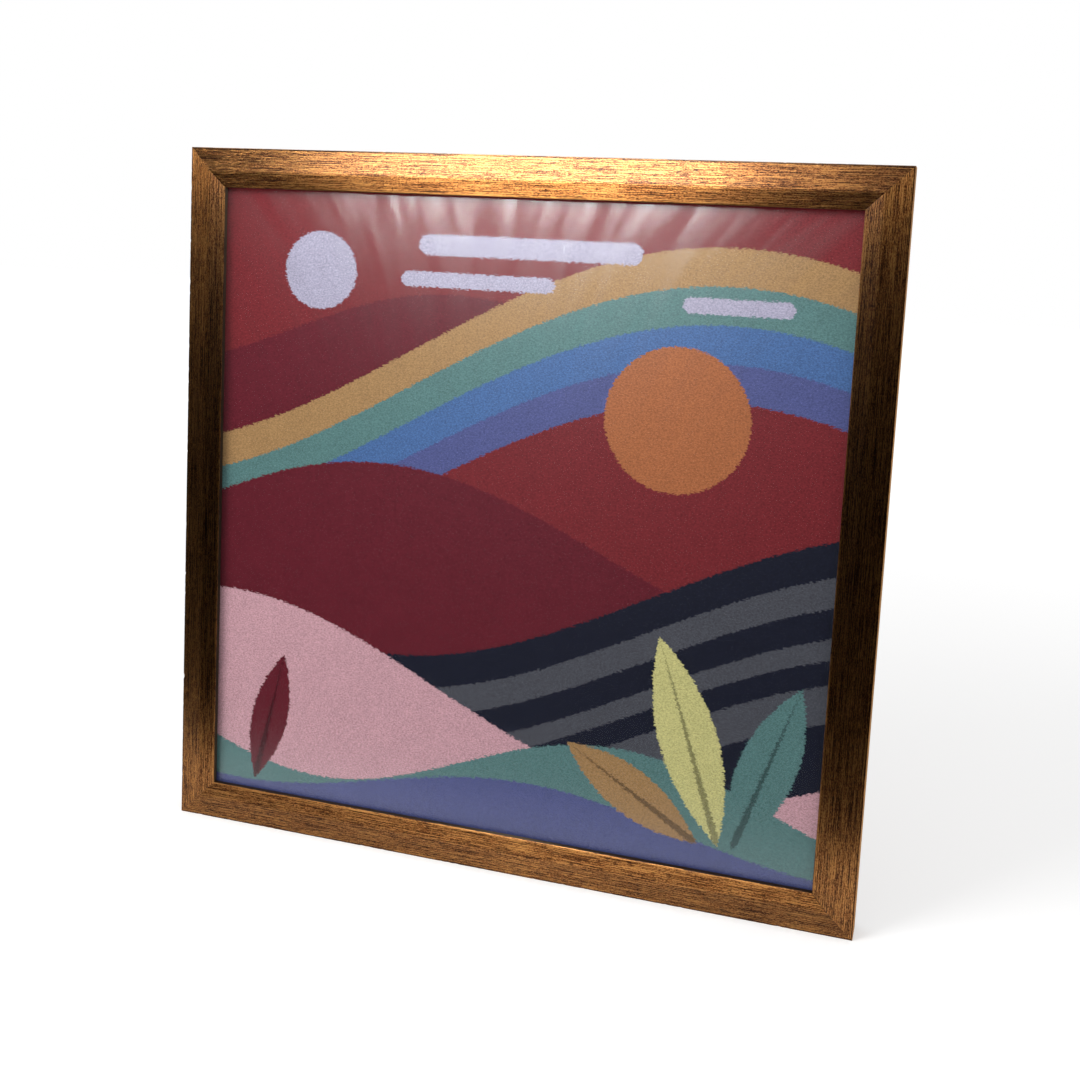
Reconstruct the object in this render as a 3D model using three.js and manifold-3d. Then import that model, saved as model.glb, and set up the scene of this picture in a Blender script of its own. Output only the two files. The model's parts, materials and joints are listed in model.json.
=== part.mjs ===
// A square frame that hangs a record jacket on the wall: four mitred mouldings round a textured glazing
// sheet, a printed sheet, a filler and a backing board, which eight turn buttons hold in from behind.
// A small ring on the backing board takes the wall hook.
//
// Millimetres, +Z up, +X to the right as seen from the front, and the front faces -Y. The origin is on the
// flat of the bottom edge, at the middle of the width and of the moulding's depth.

import * as THREE from 'three';
import { mergeVertices } from 'three/addons/utils/BufferGeometryUtils.js';
import Module from 'manifold-3d';

// The moulding
const frameOuter = 330.2;        // outside width and height
const railFace = 18.4;           // width of the moulding as seen from the front
const railDepth = 16;            // from the wall plane to where the face's two slopes meet
const railWall = 6.35;           // solid wall between the outer side and the rabbet
const crestInset = 11;           // from the outer side to where the slopes meet
const outerDrop = 1.9;           // how far the outer edge of the face lies behind the crest
const lipDrop = 1.4;             // how far the inner edge of the face lies behind the crest
const lipHeight = 3;             // height of the wall round the opening, from the ledge to the face
const outerArrisRadius = 0.6;
const crestRadius = 5;
const lipArrisRadius = 0.7;
const mitreGap = 0.1;            // glue line between two mitred ends

// The nails in the mitres, each a right angle as seen from the back, with its point towards the corner
const nailInset = 2.7;           // from the outer sides to the nail's outer faces
const nailWing = 5;
const nailThickness = 0.6;
const nailHeight = 9.5;
const nailSunk = 0.2;            // how far the nail lies below the back of the moulding
const nailClearance = 0.2;

// The sheets in the rabbet, from the front to the back
const sheetGap = 0.1;            // left between one sheet and the next
const glazingThickness = 1.2;
const glazingClearance = 0.7;    // from each edge of the glazing to the rabbet's wall
const printThickness = 0.4;
const printClearance = 1.25;     // leaves a sheet of 315 mm, the size of a record jacket
const backingThickness = 3;
const backingClearance = 0.75;
const backingSunk = 0.1;         // how far the backing board lies below the back of the moulding

// The turn buttons, two on each side
const buttonPlaceShare = 0.23;   // from the middle of a side to a button, as a share of the outside width
const buttonLength = 17;
const buttonSetback = 0.175;     // from the outer side to the button's round end
const buttonThickness = 0.8;
const buttonGap = 0.2;           // above and below the button, so that it turns
const buttonHoleClearance = 0.15;
const tipLength = 2.8;           // the finger tip that is bent up
const tipRise = 1.1;
const ribMargin = 0.9;           // from the screw's head to the rib, and from the rib to the finger tip
const ribWidth = 1.8;
const ribHeight = 0.4;

// The screws of the turn buttons
const screwShankRadius = 1.1;
const screwReach = 8;            // from under the head to the point
const screwPointLength = 2;
const screwHeadRadius = 2.5;
const screwHeadHeight = 1.3;
const screwRimHeight = 0.35;
const pilotClearance = 0.1;
const recessLength = 2.7;        // the cross slot in the head
const recessWidth = 0.65;
const recessDepth = 0.75;

// The hanger: a folded strap, its rivet and the ring
const hangerDrop = 19;           // from the backing board's top edge to the ring's axis
const wireRadius = 0.9;
const ringInnerWidth = 16;
const ringLegLength = 5.2;       // straight part of the ring's sides, from its axis to the round bow
const ringCornerRadius = 1.8;
const strapSheet = 0.6;          // the strap is this sheet, folded in two
const strapWidth = 8;
const strapLength = 11;          // from the ring's axis to the strap's lower end
const strapCornerRadius = 1.6;
const loopClearance = 0.25;      // between the ring's wire and the strap's fold
const seatGap = 0.1;             // between a piece and the face that it is fastened to
const rivetPlaceShare = 0.6;     // from the ring's axis to the rivet, as a share of the strap's length
const rivetShankRadius = 1.4;
const rivetHoleClearance = 0.12;
const rivetHeadRadius = 2.6;
const rivetHeadHeight = 0.8;
const rivetFlangeRadius = 2.4;
const rivetFlangeThickness = 0.4;
const dentClearance = 0.3;       // round the rivet's flange, where it presses into the filler

// The bumpers on the two lower corners
const bumperHeight = 3;          // from the back of the moulding to the face on the wall
const bumperFlatHeight = 1.6;    // height of the straight side
const bumperTaper = 0.8;         // how much the radius shrinks from there to the face on the wall

// How finely round shapes are cut into flats
const arcSteps = 8;
const domeSteps = 4;
const holeSides = 24;
const turnedSides = 24;
const wireSides = 10;
const ringSteps = 48;
const overrun = 1;               // how far a cutter reaches past the face that it cuts

// Places that follow from the sizes above
const half = frameOuter / 2;
const wallPlaneY = railDepth / 2;                            // the back of the mouldings
const ledgeHeight = railDepth - lipDrop - lipHeight;         // depth of the rabbet
const rabbetSide = frameOuter - 2 * railWall;
const nailBackY = wallPlaneY - nailSunk;
const glazingFrontY = wallPlaneY - ledgeHeight + sheetGap;
const glazingBackY = glazingFrontY + glazingThickness;
const printFrontY = glazingBackY + sheetGap;
const printBackY = printFrontY + printThickness;
const fillerFrontY = printBackY + sheetGap;
const backingBackY = wallPlaneY - backingSunk;
const backingFrontY = backingBackY - backingThickness;
const fillerBackY = backingFrontY - sheetGap;
const backingSide = rabbetSide - 2 * backingClearance;

const buttonRadius = railWall / 2 - buttonSetback;           // of the button's round ends
const pivotInset = railWall / 2;                             // from the outer side to a button's screw
const buttonPlace = frameOuter * buttonPlaceShare;
const buttonFrontY = wallPlaneY + buttonGap;
const buttonBackY = buttonFrontY + buttonThickness;
const screwHeadY = buttonBackY + buttonGap;

const loopInnerRadius = wireRadius + loopClearance;
const loopOuterRadius = loopInnerRadius + strapSheet;
const strapFrontY = backingBackY + seatGap;
const strapBackY = strapFrontY + 2 * strapSheet;
const ringAxisY = strapFrontY + loopOuterRadius;
const ringAxisZ = half + backingSide / 2 - hangerDrop;
const rivetZ = ringAxisZ - strapLength * rivetPlaceShare;
const rivetFlangeY = backingFrontY - seatGap;                // the back of the rivet's flange

// The finishes
const finishes = {
  bronze_foil: { color: 0x8a5f33, roughness: 0.38, metalness: 0.75 },
  glazing: { color: 0xe9eef0, roughness: 0.3, metalness: 0, transparent: true, opacity: 0.25 },
  print: { color: 0x8b3a44, roughness: 0.7, metalness: 0 },
  cardboard: { color: 0xb08a5c, roughness: 0.9, metalness: 0 },
  fibreboard: { color: 0x8a6a48, roughness: 0.85, metalness: 0 },
  zinc_steel: { color: 0xb9bbb8, roughness: 0.35, metalness: 1 },
  brassed_steel: { color: 0xc2a05a, roughness: 0.35, metalness: 1 },
  rubber: { color: 0x2b2a29, roughness: 0.8, metalness: 0 },
};
const materials = {};
for (const [name, settings] of Object.entries(finishes)) {
  materials[name] = new THREE.MeshStandardMaterial({ name, ...settings });
}

const wasm = await Module();
wasm.setup();

// A closed geometry as a solid that can be joined to others or cut by them
function solidFrom(geometry) {
  const bare = geometry.clone();
  bare.deleteAttribute('normal');
  bare.deleteAttribute('uv');
  const merged = mergeVertices(bare);
  return new wasm.Manifold(new wasm.Mesh({
    numProp: 3,
    vertProperties: new Float32Array(merged.attributes.position.array),
    triVerts: new Uint32Array(merged.index.array),
  }));
}

// A solid's faces as a geometry
function geometryFrom(solid) {
  const { vertProperties, triVerts } = solid.getMesh();
  const geometry = new THREE.BufferGeometry();
  geometry.setAttribute('position', new THREE.BufferAttribute(vertProperties, 3));
  geometry.setIndex(new THREE.BufferAttribute(triVerts, 1));
  geometry.computeVertexNormals();
  return geometry;
}

// A geometry less all the cutters
function cut(geometry, cutters) {
  let solid = solidFrom(geometry);
  for (const cutter of cutters) solid = solid.subtract(solidFrom(cutter));
  return geometryFrom(solid);
}

// What two geometries have in common
function common(first, second) {
  return geometryFrom(solidFrom(first).intersect(solidFrom(second)));
}

// Two geometries as one
function joined(first, second) {
  return geometryFrom(solidFrom(first).add(solidFrom(second)));
}

// A closed outline through the corners, each { x, y, radius }, going round to the left. A corner with a
// radius becomes an arc that touches both of its sides.
function roundedOutline(corners) {
  const outline = new THREE.Shape();
  corners.forEach((corner, index) => {
    const here = new THREE.Vector2(corner.x, corner.y);
    if (!corner.radius) {
      outline[index === 0 ? 'moveTo' : 'lineTo'](here.x, here.y);
      return;
    }
    const before = corners[(index + corners.length - 1) % corners.length];
    const after = corners[(index + 1) % corners.length];
    const toBefore = new THREE.Vector2(before.x, before.y).sub(here).normalize();
    const toAfter = new THREE.Vector2(after.x, after.y).sub(here).normalize();
    const halfAngle = Math.acos(toBefore.dot(toAfter)) / 2;
    const start = here.clone().addScaledVector(toBefore, corner.radius / Math.tan(halfAngle));
    const inwards = toBefore.clone().add(toAfter).normalize();
    const centre = here.clone().addScaledVector(inwards, corner.radius / Math.sin(halfAngle));
    const startAngle = Math.atan2(start.y - centre.y, start.x - centre.x);
    outline[index === 0 ? 'moveTo' : 'lineTo'](start.x, start.y);
    outline.absarc(centre.x, centre.y, corner.radius, startAngle, startAngle + Math.PI - 2 * halfAngle);
  });
  outline.closePath();
  return outline;
}

// An outline of X and Z made into a slab from one Y to another
function slabAlongY(outline, fromY, toY) {
  const slab = new THREE.ExtrudeGeometry(outline, {
    depth: toY - fromY, bevelEnabled: false, curveSegments: arcSteps,
  });
  return slab.rotateX(Math.PI / 2).translate(0, toY, 0);
}

// An outline of Y and Z made into a slab from one X to another
function slabAlongX(outline, fromX, toX) {
  const slab = new THREE.ExtrudeGeometry(outline, {
    depth: toX - fromX, bevelEnabled: false, curveSegments: arcSteps,
  });
  return slab.rotateX(Math.PI / 2).rotateZ(Math.PI / 2).translate(fromX, 0, 0);
}

// A round bar from one Y to another, with its axis through the place x, z
function barAlongY(radius, fromY, toY, x, z) {
  const bar = new THREE.CylinderGeometry(radius, radius, toY - fromY, holeSides);
  return bar.translate(x, (fromY + toY) / 2, z);
}

// A turned piece on the Y axis, from points { radius, y } with Y rising
function turned(points) {
  return new THREE.LatheGeometry(points.map(({ radius, y }) => new THREE.Vector2(radius, y)), turnedSides);
}

// The points of a dome that rises from its rim to its top
function domePoints(rimRadius, rimY, height) {
  const sphereRadius = (rimRadius ** 2 + height ** 2) / (2 * height);
  const rimAngle = Math.asin(rimRadius / sphereRadius);
  const points = [];
  for (let step = 0; step <= domeSteps; step += 1) {
    const angle = rimAngle * (1 - step / domeSteps);
    const rise = sphereRadius * (Math.cos(angle) - Math.cos(rimAngle));
    points.push({ radius: step === domeSteps ? 0 : sphereRadius * Math.sin(angle), y: rimY + rise });
  }
  return points;
}

// A square sheet in the rabbet, centred in the frame
function sheet(clearance, frontY, backY) {
  const side = rabbetSide - 2 * clearance;
  return new THREE.BoxGeometry(side, backY - frontY, side).translate(0, (frontY + backY) / 2, half);
}

// The moulding's section, with x inwards from the outer side and y forwards from the wall plane
function mouldingSection() {
  return roundedOutline([
    { x: 0, y: 0 },
    { x: railWall, y: 0 },
    { x: railWall, y: ledgeHeight },
    { x: railFace, y: ledgeHeight },
    { x: railFace, y: ledgeHeight + lipHeight, radius: lipArrisRadius },
    { x: crestInset, y: railDepth, radius: crestRadius },
    { x: 0, y: railDepth - outerDrop, radius: outerArrisRadius },
  ]);
}

// The bottom moulding before it is cut: the section carried along X, with each end drawn out to the mitre
function mitredBlank() {
  const blank = new THREE.ExtrudeGeometry(mouldingSection(), {
    depth: frameOuter, bevelEnabled: false, curveSegments: arcSteps,
  });
  const points = blank.attributes.position;
  for (let index = 0; index < points.count; index += 1) {
    const inwards = points.getX(index);
    const forwards = points.getY(index);
    const reach = half - inwards - mitreGap / Math.SQRT2;
    points.setXYZ(index, points.getZ(index) > half ? reach : -reach, wallPlaneY - forwards, inwards);
  }
  return blank;
}

// A right angle in the lower left corner: the nail itself, or its slot where there is a clearance
function cornerAngle(clearance) {
  const outer = nailInset - clearance;
  const inner = nailInset + nailThickness + clearance;
  const end = nailInset + nailWing + clearance;
  return roundedOutline([
    { x: outer - half, y: outer },
    { x: end - half, y: outer },
    { x: end - half, y: inner },
    { x: inner - half, y: inner },
    { x: inner - half, y: end },
    { x: outer - half, y: end },
  ]);
}

function nail() {
  return slabAlongY(cornerAngle(0), nailBackY - nailHeight, nailBackY);
}

function nailSlot() {
  return slabAlongY(cornerAngle(nailClearance), nailBackY - nailHeight - nailClearance, wallPlaneY + overrun);
}

// The bottom moulding, with a slot for a nail at each end and a pilot hole for each turn button's screw
function moulding() {
  const rightSlot = nailSlot().translate(0, 0, -half).rotateY(-Math.PI / 2).translate(0, 0, half);
  const pilotFloorY = screwHeadY - screwReach - seatGap;
  const pilots = [-buttonPlace, buttonPlace].map((x) => (
    barAlongY(screwShankRadius + pilotClearance, pilotFloorY, wallPlaneY + overrun, x, pivotInset)
  ));
  return cut(mitredBlank(), [nailSlot(), rightSlot, ...pilots]);
}

// A turn button with its screw's axis at X and Z zero: a pressed strip that points up, over the backing
// board, with its finger tip bent away from the board and a rib down its middle
function turnButton() {
  const reach = buttonLength - buttonRadius;
  const tipStart = reach - tipLength;
  const strip = slabAlongX(new THREE.Shape([
    new THREE.Vector2(buttonFrontY, -buttonRadius),
    new THREE.Vector2(buttonBackY, -buttonRadius),
    new THREE.Vector2(buttonBackY, tipStart),
    new THREE.Vector2(buttonBackY + tipRise, reach),
    new THREE.Vector2(buttonFrontY + tipRise, reach),
    new THREE.Vector2(buttonFrontY, tipStart),
  ]), -buttonRadius, buttonRadius);
  const plan = slabAlongY(roundedOutline([
    { x: -buttonRadius, y: -buttonRadius, radius: buttonRadius },
    { x: buttonRadius, y: -buttonRadius, radius: buttonRadius },
    { x: buttonRadius, y: reach, radius: buttonRadius },
    { x: -buttonRadius, y: reach, radius: buttonRadius },
  ]), buttonFrontY - overrun, buttonBackY + tipRise + overrun);
  const ribStart = screwHeadRadius + ribMargin;
  const ribEnd = tipStart - ribMargin;
  const ribRadius = ribWidth / 2;
  const rib = slabAlongY(roundedOutline([
    { x: -ribRadius, y: ribStart, radius: ribRadius },
    { x: ribRadius, y: ribStart, radius: ribRadius },
    { x: ribRadius, y: ribEnd, radius: ribRadius },
    { x: -ribRadius, y: ribEnd, radius: ribRadius },
  ]), (buttonFrontY + buttonBackY) / 2, buttonBackY + ribHeight);
  const hole = barAlongY(
    screwShankRadius + buttonHoleClearance, buttonFrontY - overrun, buttonBackY + overrun, 0, 0,
  );
  return cut(joined(common(strip, plan), rib), [hole]);
}

// A turn button's screw on the Y axis: a point, a plain shank and a domed head with a cross slot
function buttonScrew() {
  const pointY = screwHeadY - screwReach;
  const rimY = screwHeadY + screwRimHeight;
  const topY = screwHeadY + screwHeadHeight;
  const body = turned([
    { radius: 0, y: pointY },
    { radius: screwShankRadius, y: pointY + screwPointLength },
    { radius: screwShankRadius, y: screwHeadY },
    { radius: screwHeadRadius, y: screwHeadY },
    ...domePoints(screwHeadRadius, rimY, screwHeadHeight - screwRimHeight),
  ]);
  const slotHeight = recessDepth + overrun;
  const slotY = topY - recessDepth + slotHeight / 2;
  const slots = [
    new THREE.BoxGeometry(recessLength, slotHeight, recessWidth).translate(0, slotY, 0),
    new THREE.BoxGeometry(recessWidth, slotHeight, recessLength).translate(0, slotY, 0),
  ];
  return cut(body, slots);
}

// The backing board, with the rivet's hole
function backingBoard() {
  const hole = barAlongY(
    rivetShankRadius + rivetHoleClearance, backingFrontY - overrun, backingBackY + overrun, 0, rivetZ,
  );
  return cut(sheet(backingClearance, backingFrontY, backingBackY), [hole]);
}

// The cardboard filler, dented where the rivet's flange presses into its back
function filler() {
  const dentFloorY = rivetFlangeY - rivetFlangeThickness - dentClearance;
  const dent = barAlongY(rivetFlangeRadius + dentClearance, dentFloorY, fillerBackY + overrun, 0, rivetZ);
  return cut(sheet(printClearance, fillerFrontY, fillerBackY), [dent]);
}

// The strap: a strip folded in two round the ring's wire and riveted flat on the board
function hangerStrap() {
  const meetY = strapBackY - ringAxisY;
  const meetAngle = Math.atan2(-Math.sqrt(loopOuterRadius ** 2 - meetY ** 2), meetY);
  const lowZ = ringAxisZ - strapLength;
  const fold = new THREE.Shape();
  fold.moveTo(strapFrontY, lowZ);
  fold.lineTo(strapBackY, lowZ);
  fold.absarc(ringAxisY, ringAxisZ, loopOuterRadius, meetAngle, Math.PI);
  fold.closePath();
  const bore = new THREE.Path();
  bore.absarc(ringAxisY, ringAxisZ, loopInnerRadius, 0, 2 * Math.PI);
  fold.holes.push(bore);
  const highZ = ringAxisZ + loopOuterRadius + overrun;
  const side = strapWidth / 2;
  const plan = roundedOutline([
    { x: -side, y: lowZ, radius: strapCornerRadius },
    { x: side, y: lowZ, radius: strapCornerRadius },
    { x: side, y: highZ },
    { x: -side, y: highZ },
  ]);
  const strip = common(
    slabAlongX(fold, -side, side),
    slabAlongY(plan, strapFrontY - overrun, ringAxisY + loopOuterRadius + overrun),
  );
  const hole = barAlongY(
    rivetShankRadius + rivetHoleClearance, strapFrontY - overrun, strapBackY + overrun, 0, rivetZ,
  );
  return cut(strip, [hole]);
}

// The rivet on the Y axis, from its flange inside the frame to its domed head on the strap
function rivet() {
  const headY = strapBackY + seatGap;
  return turned([
    { radius: 0, y: rivetFlangeY - rivetFlangeThickness },
    { radius: rivetFlangeRadius, y: rivetFlangeY - rivetFlangeThickness },
    { radius: rivetFlangeRadius, y: rivetFlangeY },
    { radius: rivetShankRadius, y: rivetFlangeY },
    { radius: rivetShankRadius, y: headY },
    ...domePoints(rivetHeadRadius, headY, rivetHeadHeight),
  ]);
}

// The ring, hanging down: a round wire along a closed path of X and Z, whose straight side is its axis
function hangingRing() {
  const side = ringInnerWidth / 2 + wireRadius;
  const lowZ = ringAxisZ - ringLegLength - side;
  const path = roundedOutline([
    { x: -side, y: lowZ, radius: side },
    { x: side, y: lowZ, radius: side },
    { x: side, y: ringAxisZ, radius: ringCornerRadius },
    { x: -side, y: ringAxisZ, radius: ringCornerRadius },
  ]);
  const positions = [];
  const faces = [];
  for (let step = 0; step < ringSteps; step += 1) {
    const centre = path.getPointAt(step / ringSteps);
    const ahead = path.getTangentAt(step / ringSteps);
    const nextStep = (step + 1) % ringSteps;
    for (let turn = 0; turn < wireSides; turn += 1) {
      const angle = 2 * Math.PI * turn / wireSides;
      const outwards = wireRadius * Math.cos(angle);
      positions.push(
        centre.x + ahead.y * outwards,
        ringAxisY + wireRadius * Math.sin(angle),
        centre.y - ahead.x * outwards,
      );
      const nextTurn = (turn + 1) % wireSides;
      const here = step * wireSides + turn;
      const beside = step * wireSides + nextTurn;
      const forward = nextStep * wireSides + turn;
      const across = nextStep * wireSides + nextTurn;
      faces.push(here, beside, across, here, across, forward);
    }
  }
  const ring = new THREE.BufferGeometry();
  ring.setAttribute('position', new THREE.Float32BufferAttribute(positions, 3));
  ring.setIndex(faces);
  ring.computeVertexNormals();
  return ring;
}

// A bumper on the Y axis, narrower where it meets the wall
function bumper() {
  const backY = wallPlaneY + bumperHeight;
  return turned([
    { radius: 0, y: wallPlaneY + seatGap },
    { radius: buttonRadius, y: wallPlaneY + seatGap },
    { radius: buttonRadius, y: wallPlaneY + bumperFlatHeight },
    { radius: buttonRadius - bumperTaper, y: backY },
    { radius: 0, y: backY },
  ]);
}

const frame = new THREE.Group();

// Adds a named piece to a group, moved by x and z
function add(group, name, geometry, finish, x = 0, z = 0) {
  const piece = new THREE.Mesh(geometry, materials[finish]);
  piece.name = name;
  piece.position.set(x, 0, z);
  group.add(piece);
}

// The pieces of each side are made for the bottom, then turned about the frame's middle in quarter turns:
// the names of a side's two ends go from its left to its right before it is turned
const sides = [
  { name: 'bottom', ends: ['left', 'right'], corner: 'lower_left' },
  { name: 'left', ends: ['upper', 'lower'], corner: 'upper_left' },
  { name: 'top', ends: ['right', 'left'], corner: 'upper_right' },
  { name: 'right', ends: ['lower', 'upper'], corner: 'lower_right' },
];
sides.forEach(({ name, ends, corner }, quarterTurns) => {
  const turnedSide = new THREE.Group();
  turnedSide.position.z = half;
  turnedSide.rotation.y = quarterTurns * Math.PI / 2;
  const side = new THREE.Group();
  side.position.z = -half;
  turnedSide.add(side);
  frame.add(turnedSide);
  add(side, `rail_${name}`, moulding(), 'bronze_foil');
  add(side, `mitre_nail_${corner}`, nail(), 'zinc_steel');
  ends.forEach((end, index) => {
    const x = index === 0 ? -buttonPlace : buttonPlace;
    add(side, `turn_button_${name}_${end}`, turnButton(), 'brassed_steel', x, pivotInset);
    add(side, `button_screw_${name}_${end}`, buttonScrew(), 'brassed_steel', x, pivotInset);
  });
});

add(frame, 'glazing_sheet', sheet(glazingClearance, glazingFrontY, glazingBackY), 'glazing');
add(frame, 'printed_sheet', sheet(printClearance, printFrontY, printBackY), 'print');
add(frame, 'filler_board', filler(), 'cardboard');
add(frame, 'backing_board', backingBoard(), 'fibreboard');
add(frame, 'hanger_strap', hangerStrap(), 'zinc_steel');
add(frame, 'hanger_rivet', rivet(), 'zinc_steel', 0, rivetZ);
add(frame, 'hanging_ring', hangingRing(), 'zinc_steel');
add(frame, 'bumper_left', bumper(), 'rubber', pivotInset - half, pivotInset);
add(frame, 'bumper_right', bumper(), 'rubber', half - pivotInset, pivotInset);

export default frame;
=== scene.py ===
"""A square wall frame for a record jacket, dressed for rendering: brushed bronze mouldings, pebbled glazing
over a printed sheet, and on the back the board, the turn buttons, the hanger and the bumpers."""

import json
import math
from functools import partialmethod

import bmesh
import bpy
import numpy as np
from bpy.props import FloatProperty, FloatVectorProperty, PointerProperty
from bpy.types import Operator, Panel, PropertyGroup
from mathutils import Euler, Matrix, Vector


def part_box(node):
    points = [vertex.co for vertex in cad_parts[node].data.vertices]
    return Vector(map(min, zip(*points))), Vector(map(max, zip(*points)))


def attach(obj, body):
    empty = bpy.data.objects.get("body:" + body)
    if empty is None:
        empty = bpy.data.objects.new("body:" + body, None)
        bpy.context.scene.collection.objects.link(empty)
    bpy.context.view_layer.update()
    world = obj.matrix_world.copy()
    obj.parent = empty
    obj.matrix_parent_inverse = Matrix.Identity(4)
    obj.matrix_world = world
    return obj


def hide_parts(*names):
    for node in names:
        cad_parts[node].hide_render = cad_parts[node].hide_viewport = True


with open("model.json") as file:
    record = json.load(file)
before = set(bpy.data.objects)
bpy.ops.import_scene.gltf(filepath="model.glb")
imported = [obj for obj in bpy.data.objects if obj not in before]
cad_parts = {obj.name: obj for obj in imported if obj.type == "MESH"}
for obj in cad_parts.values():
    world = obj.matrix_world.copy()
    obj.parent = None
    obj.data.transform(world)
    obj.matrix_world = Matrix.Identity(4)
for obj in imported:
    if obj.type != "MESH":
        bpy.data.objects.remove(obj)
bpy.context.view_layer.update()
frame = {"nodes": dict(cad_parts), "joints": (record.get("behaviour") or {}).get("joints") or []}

bl_info = {
    "name": "Record Jacket Frame",
    "version": (1, 0, 0),
    "blender": (4, 5, 0),
    "location": "3D Viewport > Sidebar > Record Frame",
    "description": "Builds the finished look of a square wall frame for a record jacket",
    "category": "Add Mesh",
}

MM = 0.001
SIDES = ("bottom", "left", "top", "right")


def tint(red, green, blue):
    """The linear values of a colour that is written in steps from 0 to 255."""
    return tuple(((v / 255 + 0.055) / 1.055) ** 2.4 for v in (red, green, blue))


# Settings


def length(name, millimetres, description):
    """A length that the user can change."""
    return FloatProperty(
        name=name, description=description, default=millimetres * MM, min=0, unit="LENGTH", precision=5
    )


def share(name, default, description):
    """A share from 0 to 1 that the user can change."""
    return FloatProperty(name=name, description=description, default=default, min=0, max=1, subtype="FACTOR")


def colour(name, values, description):
    """A colour that the user can change."""
    return FloatVectorProperty(
        name=name, description=description, default=tint(*values), min=0, max=1, subtype="COLOR"
    )


def power(name, watts, description):
    """The power of a lamp, which the user can change."""
    return FloatProperty(name=name, description=description, default=watts, unit="POWER")


class MouldingSettings(PropertyGroup):
    """The section of the four mouldings and their foil."""

    depth: length("Depth", 16, "From the wall plane to where the two slopes of the face meet")
    wall: length("Outer wall", 6.35, "Solid wall between the outer side and the rabbet")
    crest_inset: length("Crest inset", 11, "From the outer side to where the two slopes meet")
    outer_drop: length("Outer drop", 1.9, "How far the outer edge lies behind the crest")
    lip_drop: length("Lip drop", 1.4, "How far the inner edge lies behind the crest")
    lip_height: length("Lip height", 3, "Height of the wall round the opening")
    outer_radius: length("Outer arris", 0.6, "Radius of the outer edge")
    crest_radius: length("Crest radius", 5, "Radius of the soft ridge")
    lip_radius: length("Lip arris", 0.7, "Radius of the inner edge")
    mitre_gap: length("Mitre gap", 0.03, "Glue line between two mitred ends")
    mitre_opening: length("Mitre opening", 0.28, "How far the worst mitre stands open at the lip")
    wear: length("Edge wear", 0.16, "How deep the edges are rubbed and dented")
    foil_gold: colour("Foil, rubbed", (188, 134, 74), "Where the foil is rubbed bright")
    foil_bronze: colour("Foil, bronze", (134, 82, 42), "The foil's main colour")
    foil_brown: colour("Foil, brown", (62, 35, 18), "The dark wash in the streaks")
    core: colour("Core", (44, 32, 25), "The moulded core, on the back and in the rabbet")


class SheetSettings(PropertyGroup):
    """The printed sheet, the glazing and the boards."""

    crimson: colour("Crimson", (115, 37, 42), "Ground of the print")
    maroon: colour("Maroon", (97, 29, 40), "Shade on the crimson")
    navy: colour("Navy", (25, 28, 43), "The dark hill")
    grey: colour("Grey", (76, 77, 84), "Strata of the dark hill")
    teal: colour("Teal", (87, 122, 120), "First band and the leaf")
    blue: colour("Blue", (72, 104, 152), "Second band")
    violet: colour("Violet", (80, 86, 134), "Third band")
    ochre: colour("Ochre", (160, 125, 83), "Fourth band")
    orange: colour("Orange", (163, 99, 61), "The disc")
    pink: colour("Pink", (196, 153, 160), "The pale dune")
    lilac: colour("Lilac", (166, 161, 180), "The pale bars")
    straw: colour("Straw", (196, 190, 128), "The pale leaf")
    ragged: length("Ragged edge", 1.6, "How far the pebbled glazing pulls the edges of the print about")
    pebble: length("Pebble", 1.15, "Width of one pebble of the glazing")
    pebble_depth: length("Pebble depth", 0.012, "Depth of the glazing's pebbles")
    haze: share("Haze", 0.29, "Roughness of the glazing")
    hardboard: colour("Hardboard", (132, 92, 58), "The backing board")
    cardboard: colour("Cardboard", (168, 132, 92), "The filler")


class HardwareSettings(PropertyGroup):
    """The turn buttons, their screws, the hanger and the bumpers."""

    sheet_edge: length("Sheet edge", 0.14, "Radius of the edges of the pressed sheet")
    rib_height: length("Rib height", 0.4, "Height of the rib on a turn button")
    tip_length: length("Tip length", 2.8, "Length of a turn button's bent finger tip")
    tip_rise: length("Tip rise", 1.1, "How far a turn button's finger tip is bent up")
    strap_sheet: length("Strap sheet", 0.6, "Thickness of the strap's sheet")
    wire: length("Ring wire", 1.8, "Diameter of the ring's wire")
    zinc: colour("Zinc plate", (186, 188, 190), "The hanger and the nails")
    brass: colour("Brass plate", (205, 168, 98), "The turn buttons and their screws")
    rubber: colour("Rubber", (30, 29, 28), "The bumpers")


class StageSettings(PropertyGroup):
    """The floor, the lights and the camera."""

    floor: colour("Floor", (218, 218, 218), "The plain floor")
    key_power: power("Key light", 6, "Power of the main light")
    top_power: power("Top light", 0.38, "Power of the small light over the sheet's upper edge")
    sheen_power: power("Sheen light", 8, "Power of the light that only reflections see")
    daylight: share("Daylight", 0.7, "Strength of the even light from all sides")
    place: FloatVectorProperty(
        name="Camera place", description="Where the camera stands", default=(0.1858, -0.5940, 0.2949),
        subtype="TRANSLATION", unit="LENGTH",
    )
    turn: FloatVectorProperty(
        name="Camera turn", description="How the camera is turned",
        default=tuple(math.radians(angle) for angle in (82.565, -2.557, 18.449)), subtype="EULER",
    )
    lens: FloatProperty(name="Lens", description="Focal length on a sensor 36 mm wide", default=46.22)
    shift: FloatVectorProperty(
        name="Shift", description="How far the view is shifted to the right and up, in picture widths",
        default=(0.0393, -0.1142), size=2,
    )


# Shader maths


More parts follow.
